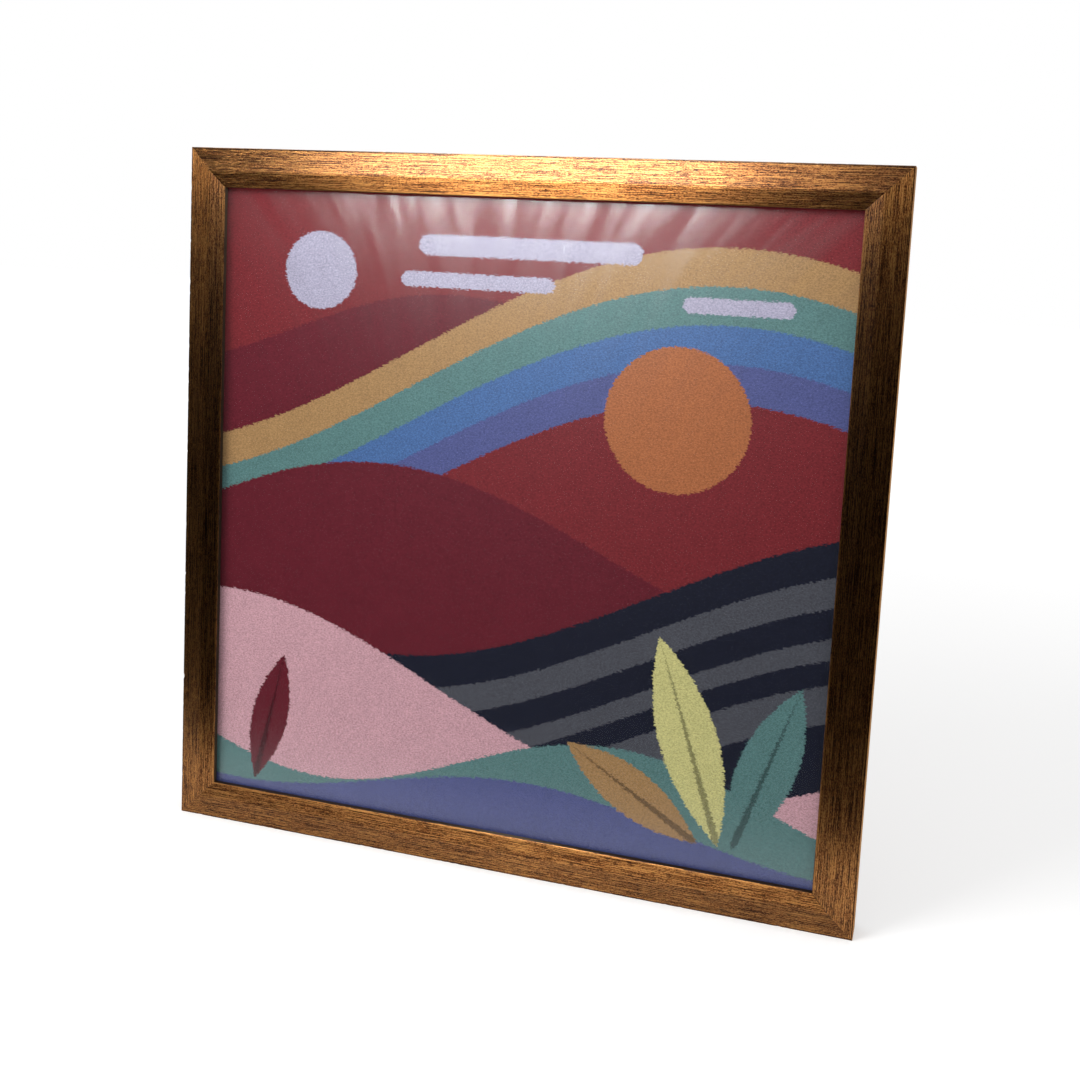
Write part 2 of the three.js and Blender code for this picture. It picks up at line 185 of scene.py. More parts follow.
class Signal:
    """One output of a shader graph. Sums, products and the like of it add Math nodes to the graph."""

    def __init__(self, graph, socket):
        self.graph = graph
        self.socket = socket

    def math(self, operation, *others):
        return self.graph.node("ShaderNodeMath", {"operation": operation}, dict(enumerate((self, *others))))

    __add__ = __radd__ = partialmethod(math, "ADD")
    __sub__ = partialmethod(math, "SUBTRACT")
    __mul__ = __rmul__ = partialmethod(math, "MULTIPLY")
    __truediv__ = partialmethod(math, "DIVIDE")
    __pow__ = partialmethod(math, "POWER")
    __abs__ = partialmethod(math, "ABSOLUTE")
    at_least = partialmethod(math, "MAXIMUM")
    at_most = partialmethod(math, "MINIMUM")
    sine = partialmethod(math, "SINE")

    def __rsub__(self, other):
        return self * -1 + other

    def __rpow__(self, other):
        return self.graph.node("ShaderNodeMath", {"operation": "POWER"}, {0: other, 1: self})


class Graph:
    """The nodes of one material or of the world."""

    def __init__(self, owner):
        owner.use_nodes = True
        self.owner = owner
        self.tree = owner.node_tree
        self.tree.nodes.clear()

    def node(self, kind, settings=None, inputs=None, output=0):
        """Adds a node: first its settings, then the values or links of its sockets."""
        made = self.tree.nodes.new(kind)
        for name, value in (settings or {}).items():
            setattr(made, name, value)
        for name, value in (inputs or {}).items():
            socket = made.inputs[name]
            if isinstance(value, Signal):
                self.tree.links.new(value.socket, socket)
            elif socket.type == "RGBA" and len(value) == 3:
                socket.default_value = (*value, 1)
            else:
                socket.default_value = value
        return Signal(self, made.outputs[output]) if made.outputs else None

    def vector(self, operation, *values, output=0):
        return self.node("ShaderNodeVectorMath", {"operation": operation}, dict(enumerate(values)), output)

    def parts(self, vector):
        """The X, Y and Z of a vector."""
        split = self.node("ShaderNodeSeparateXYZ", None, {"Vector": vector})
        return [Signal(self, socket) for socket in split.socket.node.outputs]

    def place(self):
        """The place on the piece, in metres."""
        return self.node("ShaderNodeTexCoord", output=3)

    def scaled(self, place, sizes, offset=None):
        """A place, moved by the offset and divided by millimetres along each axis or along all alike, so that
        a pattern's features get that size. A size of 0 keeps its axis out of the pattern."""
        if offset:
            place = self.vector("ADD", place, offset)
        sizes = sizes if isinstance(sizes, tuple) else (sizes,) * 3
        return self.vector("MULTIPLY", place, tuple(1 / (size * MM) if size else 0 for size in sizes))

    def noise(self, place, sizes, detail=2, roughness=0.5, offset=None, output=0):
        """Soft noise around 0.5 with features of about the given millimetres."""
        inputs = {
            "Vector": self.scaled(place, sizes, offset), "Scale": 1, "Detail": detail, "Roughness": roughness,
        }
        return self.node("ShaderNodeTexNoise", None, inputs, output)

    def rise(self, value, low, high):
        """0 below low, 1 above high, and smooth between them."""
        return self.node(
            "ShaderNodeMapRange", {"interpolation_type": "SMOOTHSTEP"},
            {"Value": value, "From Min": low, "From Max": high},
        )

    def near(self, distance, inner, outer):
        """1 up to the inner distance to either side, 0 from the outer one, and smooth between them."""
        return 1 - self.rise(abs(distance), inner, outer)

    def mix(self, factor, first, second, blend="MIX"):
        """The first colour where the factor is 0 and the second where it is 1."""
        kind = {"data_type": "RGBA", "blend_type": blend}
        return self.node("ShaderNodeMix", kind, {0: factor, 6: first, 7: second}, output=2)

    def shaded(self, paint, level):
        """A colour times a level."""
        grey = self.node("ShaderNodeCombineColor", None, dict.fromkeys(range(3), level))
        return self.mix(1.0, paint, grey, "MULTIPLY")

    def bump(self, height, distance, strength=1):
        inputs = {"Height": height, "Distance": distance, "Strength": strength}
        return self.node("ShaderNodeBump", None, inputs)

    def principled(self, **inputs):
        inputs = {name.replace("_", " "): value for name, value in inputs.items()}
        return self.node("ShaderNodeBsdfPrincipled", None, inputs)

    def show(self, shader):
        """Makes the shader the material's surface, and returns the material."""
        self.node("ShaderNodeOutputMaterial", None, {"Surface": shader})
        return self.owner


def new_graph(name):
    """The empty graph of a new material."""
    return Graph(bpy.data.materials.new(name))


# Finishes


def darker(paint, level):
    """A colour times a level, worked out at once."""
    return tuple(level * v for v in paint)


def foil_material(settings, name, twist, arrises):
    """Antique bronze foil: long and short streaks along the moulding under a dark wash that has broken into
    flecks, rubbed bright in places. Painted highlights lighten the lip's arris and a broken line inside the
    outer arris, a painted sheen lightens the outer side and a painted shade darkens the outer arris. The
    brushing spreads what it reflects across the moulding. The back and the rabbet show the moulded core; the
    wall round the opening gets the same dark colour, partly as painted shade in that recess."""
    graph = new_graph(name)
    uv = graph.node("ShaderNodeUVMap", {"uv_map": "along_across"})
    _, across, _ = graph.parts(uv)
    long = graph.noise(uv, (26, 0.34, 0), 1, offset=(0.31, 0.17, 0))
    short = graph.noise(uv, (3.4, 0.32, 0), 2, 0.6)
    speck = graph.noise(uv, (0.85, 0.36, 0), 1, offset=(0.23, 0.61, 0))
    cloud = graph.noise(uv, (18, 6, 0), 2, offset=(0.7, 0.4, 0))
    dash = graph.noise(uv, (3.5, 0.3, 0), 2, 0.6, offset=(0.11, 0.53, 0))
    patch = graph.noise(uv, (9, 2.5, 0), 1, offset=(0.9, 0.9, 0))
    fleck = graph.rise(dash + patch * 0.45, 0.79, 0.89)
    outer, lip = arrises
    # Painted highlight: the foil is painted lighter along the lip's arris, where that edge catches light.
    lip_highlight = graph.near(across - lip, 0.25 * MM, 0.9 * MM)
    # Painted highlight: a broken lighter line just inside the outer arris, where the edge catches light.
    outer_highlight = graph.near(across - outer + 0.75 * MM, 0.05 * MM, 0.3 * MM) * graph.rise(patch, 0.45, 0.6)
    # Painted sheen: the outer side's tone is raised, so it shows as lighter, more golden foil; its lower
    # roughness and missing coat are real.
    side = graph.rise(across - outer, 0.3 * MM, 0.9 * MM)
    # Painted shade: a dark line on the outer arris, standing in for the darkness that edge reflects and the
    # shade it lies in.
    outer_arris_shade = graph.near(across - outer, 0.1 * MM, 0.26 * MM)
    streaks = long * 0.9 + short * 0.75 + speck * 0.55 - 1.1
    # The tone also carries the painted highlights and the painted sheen, which turn the foil towards gold
    # there.
    tone = streaks + cloud * 0.14 - 0.055 + lip_highlight * 0.08 + outer_highlight * 0.2 + side * 0.12
    wash = graph.mix(graph.rise(tone, -0.11, 0.0), settings.foil_brown, settings.foil_bronze)
    rubbed = graph.mix(graph.rise(tone, 0.01, 0.14), wash, settings.foil_gold)
    flecked = graph.mix(fleck * 0.8, rubbed, settings.foil_brown)
    foil = graph.mix(outer_arris_shade * 0.85, flecked, darker(settings.foil_brown, 0.25))
    # The dark core colour goes on the back, the rabbet and the wall round the opening; on that wall it is
    # partly painted shade.
    bare = graph.node("ShaderNodeAttribute", {"attribute_name": "bare"}, output=2)
    grain = graph.noise(graph.place(), 0.4, 3)
    core = graph.mix(grain, darker(settings.core, 0.6), settings.core)
    shell = 1 - bare
    return graph.show(graph.principled(
        Base_Color=graph.mix(bare, foil, core),
        Metallic=shell * (1 - fleck * 0.12),
        Roughness=bare * 0.16 - side * 0.1 + 0.41 + short * 0.1 + fleck * 0.1,
        Anisotropic=0.92, Anisotropic_Rotation=twist, Specular_Tint=(1, 0.8, 0.56),
        Coat_Weight=shell * (1 - side) * 0.2, Coat_Roughness=0.3,
        Normal=graph.bump((short * 1.4 + long - fleck * 0.6) * shell + grain * bare * 0.4, 0.045 * MM),
    ))


def soft_edge(inside):
    """1 inside a shape and 0 outside, from a distance that is positive inside, in half sheets."""
    blur = 0.004
    return (inside / blur + 0.5).at_least(0).at_most(1)


def print_material(settings):
    """A plain poster of flowing bands, a disc, strata hills, leaves and pale bars, seen through pebbles that
    pull its edges about. Its places run from -1 to 1 across the sheet and up it."""
    graph = new_graph("printed poster")
    low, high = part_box("printed_sheet")
    half = (high.x - low.x) / 2
    place = graph.place()
    jitter = graph.noise(place, (1.7, 1, 0.8), 1, output=1)
    pull = graph.vector("MULTIPLY_ADD", jitter, (2 * settings.ragged,) * 3, (-settings.ragged,) * 3)
    across, _, up = graph.parts(graph.vector("ADD", place, pull))
    x = across / half
    y = (up - (low.z + high.z) / 2) / half

    def wave(base, height, rate, phase):
        return (x * rate + phase).sine() * height + base

    def filled(art, *layers):
        """The art, painted below one line after another."""
        for line, paint in layers:
            art = graph.mix(soft_edge(line - y), art, paint)
        return art

    art = graph.mix(soft_edge(y - wave(0.52, 0.13, 3.1, 2.2)), settings.maroon, settings.crimson)
    flow = wave(0.12, 0.34, 1.7, 0.55)
    for index, paint in enumerate((settings.ochre, settings.teal, settings.blue, settings.violet)):
        art = filled(art, (flow + 0.36 - index * 0.105, paint))
    art = filled(art, (flow - 0.06, settings.crimson))

    # Two discs and three bars with round ends
    for centre_x, centre_y, reach, radius, paint in (
        (0.47, 0.34, 0, 0.205, settings.orange), (-0.62, 0.70, 0, 0.115, settings.lilac),
        (0.02, 0.79, 0.30, 0.030, settings.lilac), (-0.13, 0.69, 0.21, 0.022, settings.lilac),
        (0.62, 0.66, 0.13, 0.022, settings.lilac),
    ):
        dx = (abs(x - centre_x) - reach).at_least(0)
        dy = y - centre_y
        art = graph.mix(soft_edge(radius - (dx * dx + dy * dy) ** 0.5), art, paint)

    hill = wave(-0.17, 0.27, 1.9, -0.8)
    art = filled(art, (wave(-0.06, 0.2, 2.3, 2.5), settings.maroon), (hill, settings.navy))
    depth = hill - y
    for start, thick in ((0.10, 0.085), (0.27, 0.06), (0.40, 0.11)):
        band = soft_edge(depth - start) * soft_edge(start + thick - depth)
        art = graph.mix(band, art, settings.grey)
    art = filled(
        art, (wave(-0.52, 0.22, 2.2, 3.6), settings.pink), (wave(-0.74, 0.12, 3.4, 0.4), settings.teal),
        (wave(-0.84, 0.07, 3.4, 1.3), settings.violet),
    )

    # Leaves: each is a pointed blade with a darker vein that thins out towards the tip
    for root_x, root_y, angle, reach, width, paint in (
        (0.66, -0.86, 1.9, 0.62, 0.085, settings.straw), (0.70, -0.86, 1.25, 0.52, 0.08, settings.teal),
        (0.60, -0.86, 2.6, 0.46, 0.07, settings.ochre), (-0.80, -0.90, 1.35, 0.42, 0.06, settings.maroon),
    ):
        cosine, sine = math.cos(angle), math.sin(angle)
        dx, dy = x - root_x, y - root_y
        along = (dx * cosine + dy * sine) / reach
        side = abs(dy * cosine - dx * sine)
        blade = soft_edge(along * (1 - along) * 4 * width - side)
        vein = soft_edge((1 - along) * 0.011 - side) * blade
        art = graph.mix(vein, graph.mix(blade, art, paint), darker(paint, 0.45))

    speckle = graph.noise(place, (0.9, 1, 0.6), 2, 0.6)
    mottle = graph.noise(place, 14)
    return graph.show(graph.principled(
        Base_Color=graph.shaded(art, speckle * 1.3 + mottle * 0.12 + 0.29),
        Roughness=0.55 + speckle * 0.2,
        Specular_IOR_Level=0.05,
        Normal=graph.bump(speckle, 0.02 * MM, 0.6),
    ))


def glazing_material(settings):
    """Clear sheet with fine pebbles that scatter what it reflects. Light goes straight through it elsewhere.
    Under the upper lip the sheet bows towards the wall in soft folds that fan out and fade downwards."""
    graph = new_graph("pebbled glazing")
    place = graph.place()
    across, _, up = graph.parts(place)
    below_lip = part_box("rail_top")[0].z - up
    pebbles = graph.noise(place, settings.pebble / MM, 2, 0.55)
    fan_shift, fan_spread, fold_sizes, fade_length = 20 * MM, 7.5, (9, 55, 0), 50 * MM
    fan = (across + fan_shift) * (below_lip * fan_spread + 1)
    folds = graph.noise(graph.node("ShaderNodeCombineXYZ", None, {0: fan, 1: below_lip}), fold_sizes, 1)
    fade = math.e ** (below_lip / -fade_length)
    relief = graph.bump(pebbles + folds * 7 - fade * 280, settings.pebble_depth)
    gloss = graph.principled(
        Base_Color=(1, 1, 1), Roughness=settings.haze, Metallic=1.0, Anisotropic=0.5,
        Anisotropic_Rotation=0.25, Normal=relief,
    )
    clear = graph.node("ShaderNodeBsdfTransparent", None, {"Color": (0.97, 0.975, 0.98)})
    # Light isn't bent on its way through, so a face seen from inside would mirror it: it lets all through.
    from_inside = graph.node("ShaderNodeNewGeometry", output=6)
    fold_gloss = ((graph.rise(folds, 0.3, 0.7) - 0.5) * fade * 1.8 + 1.45) * (1 - from_inside)
    mirrored = (graph.node("ShaderNodeFresnel", None, {"IOR": 1.5}) * fold_gloss).at_most(1)
    return graph.show(graph.node("ShaderNodeMixShader", None, {0: mirrored, 1: clear, 2: gloss}))


def hardboard_material(settings):
    """Hardboard: pressed brown fibres, faint clouds and small dark chips."""
    graph = new_graph("hardboard")
    place = graph.place()
    fibres = graph.noise(place, (2.6, 1, 0.5), 4, 0.65, offset=(0.2, 0.1, 0.4))
    crossing = graph.noise(place, (0.5, 1, 2.4), 4, 0.65, offset=(0.6, 0.3, 0.1))
    clouds = graph.noise(place, 34, 3)
    chips = graph.rise(graph.noise(place, 1.5, 1), 0.70, 0.76)
    board = graph.shaded(settings.hardboard, 0.52 + fibres * 0.4 + crossing * 0.35 + clouds * 0.22)
    return graph.show(graph.principled(
        Base_Color=graph.mix(chips * 0.55, board, darker(settings.hardboard, 0.3)),
        Roughness=0.62 + fibres * 0.2,
        Normal=graph.bump(fibres + crossing, 0.06 * MM),
    ))


def cardboard_material(settings):
    """Brown corrugated board: the flutes show as soft bars on its faces."""
    graph = new_graph("corrugated cardboard")
    place = graph.place()
    across, _, _ = graph.parts(place)
    pitch = 7 * MM
    flutes = (across * (2 * math.pi / pitch)).sine() * 0.5 + 0.5
    fibres = graph.noise(place, (3, 1, 0.6), 4, 0.6)
    return graph.show(graph.principled(
        Base_Color=graph.shaded(settings.cardboard, 0.78 + fibres * 0.3 + flutes * 0.07),
        Roughness=0.85 + fibres * 0.1,
        Normal=graph.bump(flutes * 2 + fibres, 0.08 * MM),
    ))


def zinc_material(settings):
    """Bright zinc plate: faint crystals, fine rolling scratches and grey smudges."""
    graph = new_graph("zinc plate")
    place = graph.place()
    crystals = graph.node("ShaderNodeTexVoronoi", None, {"Vector": graph.scaled(place, 0.8), "Scale": 1})
    scratches = graph.noise(place, (0.12, 0.5, 5), 2, 0.6)
    smudges = graph.noise(place, 3, 3)
    return graph.show(graph.principled(
        Base_Color=graph.mix(smudges, darker(settings.zinc, 0.62), settings.zinc),
        Metallic=1.0,
        Roughness=0.2 + smudges * 0.24 + scratches * 0.08,
        Normal=graph.bump(crystals * 0.5 + scratches, 0.012 * MM),
    ))


def brass_material(settings):
    """Thin brass plate on pressed steel: warm, with darker smudges and fine scratches."""
    graph = new_graph("brass plate")
    place = graph.place()
    scratches = graph.noise(place, (0.15, 0.5, 1.5), 3, 0.6)
    smudges = graph.noise(place, 5, 4, 0.65)
    tarnish = graph.rise(smudges, 0.35, 0.8)
    return graph.show(graph.principled(
        Base_Color=graph.mix(tarnish * 0.6, settings.brass, darker(settings.brass, 0.5)),
        Metallic=0.95,
        Roughness=0.24 + tarnish * 0.2 + scratches * 0.1,
        Normal=graph.bump(scratches + smudges * 0.5, 0.015 * MM),
    ))


def rubber_material(settings):
    """Matt black rubber with a fine grain and a little dust."""
    graph = new_graph("black rubber")
    place = graph.place()
    grain = graph.noise(place, 0.35, 3)
    dust = graph.rise(graph.noise(place, 0.9), 0.55, 0.8)
    return graph.show(graph.principled(
        Base_Color=graph.mix(dust * 0.25, settings.rubber, (0.22, 0.21, 0.2)),
        Roughness=0.7 + grain * 0.2,
        Normal=graph.bump(grain, 0.03 * MM),
    ))


# Surfaces


def grid_faces(rows, columns, wrap_rows, wrap_columns):
    """The quads of a grid of points that is stored row by row, and the same quads on a grid that repeats its
    first row or column at the end, for maps that don't wrap."""
    row = np.arange(rows if wrap_rows else rows - 1)
    column = np.arange(columns if wrap_columns else columns - 1)
    row, column = (part.ravel() for part in np.meshgrid(row, column, indexing="ij"))
    corners = ((row, column), (row, column + 1), (row + 1, column + 1), (row + 1, column))
    faces = np.stack([(r % rows) * columns + c % columns for r, c in corners], 1)
    width = columns + 1 if wrap_columns else columns
    map_faces = np.stack([r * width + c for r, c in corners], 1)
    return faces, map_faces


def joined(x, y, z):
    """Points from their coordinates. One that is the same for a whole row or column is given once."""
    return np.stack(np.broadcast_arrays(x, y, z), -1)


def unit(vectors):
    """The vectors, each at length 1."""
    return vectors / np.maximum(np.linalg.norm(vectors, axis=1, keepdims=True), 1e-12)


def arc(centre, radius, angles):
    """The points of a circle at some angles."""
    return centre + radius * np.stack([np.cos(angles), np.sin(angles)], 1)


def oblong(half_width, low, high, low_radius, high_radius):
    """The corners of an oblong outline that is as wide to the left as to the right, each with its radius."""
    return [
        (-half_width, low, low_radius), (half_width, low, low_radius),
        (half_width, high, high_radius), (-half_width, high, high_radius),
    ]


def rounded_path(corners, spacing, arc_steps):
    """A closed outline through corners (x, y, radius): each corner with a radius becomes an arc that touches
    both of its sides, and straight runs are cut into equal steps no longer than the spacing."""
    corners = np.asarray(corners, float)
    here, radius = corners[:, :2], corners[:, 2]
    back, ahead = unit(np.roll(here, 1, 0) - here), unit(np.roll(here, -1, 0) - here)
    half = np.arccos(np.clip((back * ahead).sum(1), -1, 1)) / 2
    reach = (radius / np.tan(half))[:, None]
    centre = here + unit(back + ahead) * (radius / np.sin(half))[:, None]
    entry, leave = here + back * reach, here + ahead * reach
    side = np.sign(ahead[:, 0] * back[:, 1] - ahead[:, 1] * back[:, 0])
    runs = []
    for index in range(len(corners)):
        if radius[index]:
            start = np.arctan2(*(entry[index] - centre[index])[::-1])
            sweep = side[index] * (math.pi - 2 * half[index])
            runs.append(arc(centre[index], radius[index], start + sweep * np.linspace(0, 1, arc_steps + 1)))
        else:
            runs.append(here[index:index + 1])
        run = entry[(index + 1) % len(corners)] - leave[index]
        steps = max(1, math.ceil(np.linalg.norm(run) / spacing))
        runs.append(leave[index] + run * np.linspace(0, 1, steps + 1)[1:-1, None])
    return np.concatenate(runs)


def distances(path):
    """How far along a closed path each of its points lies, with the whole length at the end."""
    steps = np.linalg.norm(np.roll(path, -1, 0) - path, axis=1)
    return np.concatenate([[0], np.cumsum(steps)])


def new_piece(name, points, material, wrap_rows=False, wrap_columns=True, caps=False, uv=None, sharp=40):
    """A smooth closed mesh from a grid of points, with its first and last rows filled by one face each if it
    has caps. Points that fall together at a pole are merged, and faces point outwards."""
    rows, columns = points.shape[:2]
    faces, map_faces = grid_faces(rows, columns, wrap_rows, wrap_columns)
    faces = faces.tolist()
    if caps:
        faces += [list(range(columns)), list(range((rows - 1) * columns, rows * columns))]
    mesh = bpy.data.meshes.new(name)
    mesh.from_pydata(points.reshape(-1, 3), [], faces)
    if uv is not None:
        layer = mesh.uv_layers.new(name="along_across")
        values = np.zeros((len(mesh.loops), 2), np.float32)
        values[:map_faces.size] = uv.reshape(-1, 2)[map_faces.ravel()]
        layer.uv.foreach_set("vector", values.ravel())
    tidy_mesh(mesh, sharp)
    mesh.materials.append(material)
    piece = bpy.data.objects.new(name, mesh)
    bpy.context.scene.collection.objects.link(piece)
    return piece


def tidy_mesh(mesh, sharp):
    """Merges points that fall together, turns the faces outwards and smooths all but the sharp edges."""
    work = bmesh.new()
    work.from_mesh(mesh)
    bmesh.ops.remove_doubles(work, verts=work.verts, dist=0.0005 * MM)
    bmesh.ops.recalc_face_normals(work, faces=work.faces)
    work.to_mesh(mesh)
    work.free()
    mesh.shade_smooth()
    mesh.set_sharp_from_angle(angle=math.radians(sharp))


def mount_piece(piece, body, slot, *nodes):
    """Sets a piece on its body in place of the nodes that it stands for."""
    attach(piece, body)
    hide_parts(*nodes)


def turned(profile, centre, sides):
    """A surface of revolution on a line along Y: each profile point (radius, y) goes round in a circle."""
    angles = np.linspace(0, 2 * math.pi, sides, endpoint=False)[:, None]
    radius, y = profile.T
    return joined(centre[0] + radius * np.cos(angles), y, centre[1] + radius * np.sin(angles))


def side_turned(points, side, half):
    """Turns points made for the bottom side about the frame's middle to another side."""
    angle = SIDES.index(side) * math.pi / 2
    cosine, sine = math.cos(angle), math.sin(angle)
    x, y, z = points[..., 0], points[..., 1], points[..., 2] - half
    return joined(x * cosine + z * sine, y, z * cosine - x * sine + half)


def ripple(places, seed, shortest, longest):
    """A smooth random line between about -1 and 1: a sum of sines of many wavelengths between two lengths."""
    terms = 14
    random = np.random.default_rng(seed)
    waves = np.exp(random.uniform(math.log(shortest), math.log(longest), terms))
    phases = random.uniform(0, 2 * math.pi, terms)
    weights = random.uniform(0.4, 1, terms)
    line = (np.sin(2 * math.pi * places[..., None] / waves + phases) * weights).sum(-1)
    return line / weights.sum() * 2


# The front


def moulding_section(settings, face):
    """The section of a moulding, as points (inwards from the outer side, forwards from the wall plane)."""
    ledge = settings.depth - settings.lip_drop - settings.lip_height
    return rounded_path([
        (0, 0, 0.3 * MM),
        (settings.wall, 0, 0.2 * MM),
        (settings.wall, ledge, 0),
        (face, ledge, 0.15 * MM),
        (face, ledge + settings.lip_height, settings.lip_radius),
        (settings.crest_inset, settings.depth, settings.crest_radius),
        (0, settings.depth - settings.outer_drop, settings.outer_radius),
    ], 1.6 * MM, 7)


def nail_slot(half, back):
    """A cutter for one mitre nail's slot in the lower left corner: a right angle carried along Y."""
    low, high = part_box("mitre_nail_lower_left")
    play, sheet, overrun = 0.1 * MM, 0.8 * MM, 1 * MM
    outer = low.x + half - play
    inner, end = outer + sheet, outer + high.x - low.x + 2 * play
    plan = np.array([(outer, outer), (end, outer), (end, inner), (inner, inner), (inner, end), (outer, end)])
    rows = np.array([[low.y - high.y - 4 * play], [overrun]]) + back
    return joined(plan[:, 0] - half, rows, plan[:, 1])


def cut_piece(piece, cutters, sharp):
    """Cuts the cutters' shapes out of a piece and keeps the result as its mesh."""
    for cutter in cutters:
        modifier = piece.modifiers.new("slot", "BOOLEAN")
        modifier.operation, modifier.solver, modifier.object = "DIFFERENCE", "EXACT", cutter
    mesh = bpy.data.meshes.new_from_object(piece.evaluated_get(bpy.context.evaluated_depsgraph_get()))
    piece.modifiers.clear()
    used = [piece.data, *(cutter.data for cutter in cutters)]
    piece.data = mesh
    mesh.name = piece.name
    for cutter in cutters:
        bpy.data.objects.remove(cutter)
    for old in used:
        bpy.data.meshes.remove(old)
    tidy_mesh(mesh, sharp)


def wear_depth(settings, face, inwards, forwards, along, index):
    """How far wear has moved each point back and inwards: dents and nibbles on the outer arris, dents on the
    lip's arris and a slow swell over the whole face."""
    edge = settings.depth - settings.outer_drop
    arris = np.exp(-(inwards ** 2 + (forwards - edge) ** 2) / (1.1 * MM) ** 2)
    lip = np.exp(-(((face - inwards) / (0.8 * MM)) ** 2)) * (forwards > settings.depth / 2)
    dents = np.maximum(ripple(along, 11 + index, 3 * MM, 60 * MM), 0) ** 2
    nibbles = np.maximum(ripple(along, 31 + index, 1.6 * MM, 9 * MM) - 0.45, 0) * 1.6
    lip_dents = np.maximum(ripple(along, 51 + index, 3 * MM, 40 * MM), 0) ** 2
    swell = ripple(along, 71 + index, 30 * MM, 160 * MM)
    worn = settings.wear * (arris * (dents * 0.7 + nibbles) + lip * lip_dents * 0.5)
    sunk = settings.wear * 0.35 * (1 + swell) / 2 * (forwards > settings.depth * 0.8)
    return worn + sunk, worn * arris


class RECORD_FRAME_OT_mouldings(Operator):
    """Builds the four mitred mouldings with their foil, their worn edges and the slots of the mitre nails"""

    bl_idname = "record_frame.mouldings"
    bl_label = "Mouldings"

    def execute(self, context):
        settings = context.scene.record_frame_moulding
        low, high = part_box("rail_bottom")
        face, back = high.z - low.z, high.y
        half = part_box("rail_right")[1].x
        section = moulding_section(settings, face)
        inwards, forwards = section.T
        around = distances(section)
        arrises = [
            around[np.argmin(np.hypot(inwards - place, forwards - settings.depth))] for place in (0, face)
        ]
        level = foil_material(settings, "antique bronze foil, level", 0.25, arrises)
        upright = foil_material(settings, "antique bronze foil, upright", 0.0, arrises)
        stations, sharp, streak_shift = 331, 38, 0.7
        share_along = np.linspace(-1, 1, stations)[:, None]
        reach = half - inwards - settings.mitre_gap / math.sqrt(2)
        gape = settings.mitre_opening * (inwards / face) ** 3 / 2
        gape_shares = {"bottom": (0.1, 1), "left": (0, 0.1), "top": (0.2, 0), "right": (1, 0.2)}
        slot = nail_slot(half, back)
        for index, side in enumerate(SIDES):
            first, last = gape_shares[side]
            along = share_along * (reach - np.where(share_along < 0, first, last) * gape)
            sunk, turned_in = wear_depth(settings, face, inwards, forwards, along, index)
            points = joined(along, back - forwards + sunk, inwards + turned_in)
            seam_along = np.concatenate([along, along[:, :1]], 1)
            uv = np.stack(np.broadcast_arrays(seam_along + index * streak_shift, around), -1)
            material = level if side in ("bottom", "top") else upright
            rail = new_piece(
                f"moulding_{side}", side_turned(points, side, half), material, caps=True, uv=uv, sharp=sharp
            )
            cut_piece(rail, [
                new_piece("slot_cutter", side_turned(slot, end, half), material, caps=True)
                for end in (side, SIDES[index - 1])
            ], sharp)
            mark_core_and_shade(rail.data, side, half, back, settings)
            mount_piece(rail, "frame", "bronze_foil", f"rail_{side}")
        nail_finish = zinc_material(context.scene.record_frame_hardware)
        for corner in ("lower_left", "upper_left", "upper_right", "lower_right"):
            set_finish(f"mitre_nail_{corner}", nail_finish)
        return {"FINISHED"}


def mark_core_and_shade(mesh, side, half, back, settings):
    """Marks the points that get the dark core colour: the back and the rabbet, which show the moulded core,
    and the wall round the opening, where that dark colour is partly painted shade in the recess. Points on
    the foil get 0."""
    places = np.zeros(len(mesh.vertices) * 3, np.float32)
    mesh.vertices.foreach_get("co", places)
    points = side_turned(places.reshape(-1, 3).astype(float), SIDES[-SIDES.index(side) % 4], half)
    inwards, forwards = points[:, 2], back - points[:, 1]
    ledge = settings.depth - settings.lip_drop - settings.lip_height
    wrap = 0.35 * MM
    rabbet = (inwards > wrap) & (forwards < ledge + 0.2 * MM)
    # The wall round the opening: its dark core colour is partly painted shade in the recess.
    wall_end = ledge + settings.lip_height - settings.lip_radius * 0.6
    shaded_lip_wall = (inwards > inwards.max() - 0.02 * MM) & (forwards < wall_end)
    bare = ((forwards < wrap) | rabbet | shaded_lip_wall).astype(np.float32)
    attribute = mesh.attributes.new("bare", "FLOAT", "POINT")
    attribute.data.foreach_set("value", bare)


def set_finish(node, material):
    """Gives a node of the fixed model its finish."""
    piece = frame["nodes"][node]
    piece.data.materials.clear()
    piece.data.materials.append(material)


class RECORD_FRAME_OT_sheets(Operator):
    """Finishes the glazing, the printed sheet and the filler"""

    bl_idname = "record_frame.sheets"
    bl_label = "Sheets"

    def execute(self, context):
        settings = context.scene.record_frame_sheets
        set_finish("glazing_sheet", glazing_material(settings))
        set_finish("printed_sheet", print_material(settings))
        set_finish("filler_board", cardboard_material(settings))
        return {"FINISHED"}


# The back


class RECORD_FRAME_OT_backing_board(Operator):
    """Builds the backing board: a square plate with eased edges"""

    bl_idname = "record_frame.backing_board"
    bl_label = "Backing board"

    def execute(self, context):
        low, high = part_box("backing_board")
        half, middle = (high.x - low.x) / 2, (low.z + high.z) / 2
        corner, ease = 0.6 * MM, 0.35 * MM
        outline = rounded_path(oblong(half, -half, half, corner, corner), 8 * MM, 5)
        quarter = np.linspace(0, math.pi / 2, 5)
        falling, growing = (1 - np.sin(quarter)) * ease, (1 - np.cos(quarter)) * ease
        y = np.concatenate([low.y + growing, high.y - falling])[:, None]
        shrink = 1 - np.concatenate([falling, growing])[:, None] / half
        points = joined(outline[:, 0] * shrink, y, outline[:, 1] * shrink + middle)
        material = hardboard_material(context.scene.record_frame_sheets)
        board = new_piece("hardboard_back", points, material, caps=True, sharp=50)
        mount_piece(board, "frame", "fibreboard", "backing_board")
        return {"FINISHED"}


